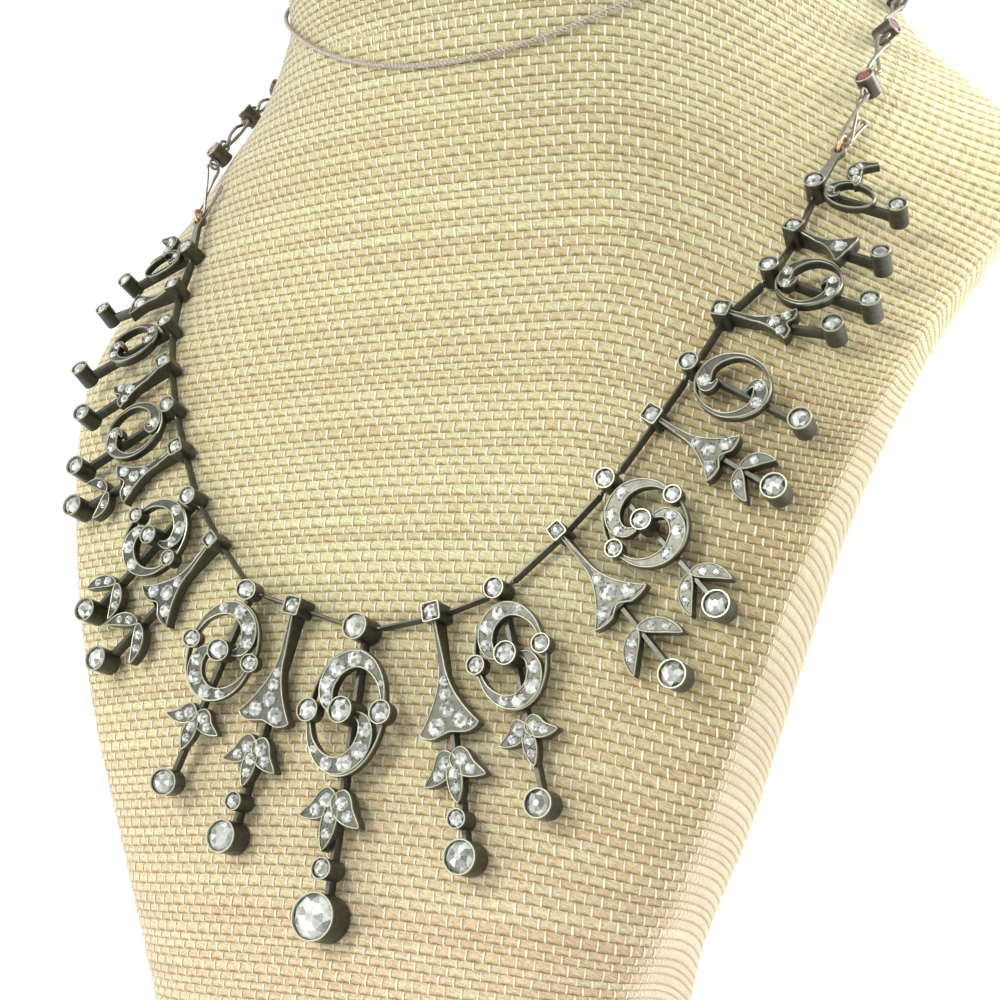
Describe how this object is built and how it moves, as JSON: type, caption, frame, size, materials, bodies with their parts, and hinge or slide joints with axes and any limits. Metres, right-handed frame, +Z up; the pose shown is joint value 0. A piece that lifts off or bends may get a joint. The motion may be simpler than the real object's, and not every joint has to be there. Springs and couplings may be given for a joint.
{
  "type": "diamond necklace on a neck bust",
  "caption": "Antique fringe necklace of rose-cut diamonds in dark silver: scrolls, tulips and leaves above round drops, on a chain of stone collets, lying on a burlap neck bust.",
  "frame": {"origin": "on the base plane, under the middle of the bust's outer box", "axes": "+Z up through the neck, -Y the front where the pendants hang, +X the viewer's right"},
  "size_m": [0.178, 0.1498, 0.244],
  "materials": {
    "burlap": "coarse woven jute with white cotton warp",
    "twine": "thin twisted grey thread",
    "silver": "oxidised silver, paler on the rims",
    "gold": "worn rose gold",
    "diamond": "rose cut",
    "garnet": "dark red rose cut"
  },
  "bodies": {
    "root": {"bust": "burlap", "neck_twine": "twine", "centre_pendant": "silver", "pendant_r1": "silver", "pendant_r2": "silver", "pendant_r3": "silver", "pendant_r4": "silver", "pendant_r5": "silver", "pendant_r6": "silver", "pendant_r7": "silver", "pendant_r8": "silver", "pendant_r9": "silver", "pendant_r10": "silver", "pendant_l1": "silver", "pendant_l2": "silver", "pendant_l3": "silver", "pendant_l4": "silver", "pendant_l5": "silver", "pendant_l6": "silver", "pendant_l7": "silver", "pendant_l8": "silver", "pendant_l9": "silver", "pendant_l10": "silver", "stone_c": "diamond", "stone_r1": "diamond", "stone_r2": "diamond", "stone_r3": "diamond", "stone_r4": "diamond", "stone_r5": "diamond", "stone_r6": "diamond", "stone_r7": "diamond", "stone_r8": "diamond", "stone_r9": "diamond", "stone_r10": "diamond", "stone_l1": "diamond", "stone_l2": "diamond", "stone_l3": "diamond", "stone_l4": "diamond", "stone_l5": "diamond", "stone_l6": "diamond", "stone_l7": "diamond", "stone_l8": "diamond", "stone_l9": "diamond", "stone_l10": "diamond", "line_stones_r": "diamond", "line_stones_l": "diamond", "pave_stones_r": "diamond", "pave_stones_l": "diamond", "jump_ring_r": "gold", "jump_ring_l": "gold", "loose_link_r": "silver", "loose_link_l": "silver", "chain_r": "silver", "chain_l": "silver", "chain_stones": "garnet", "clasp": "silver"}
  },
  "joints": []
}
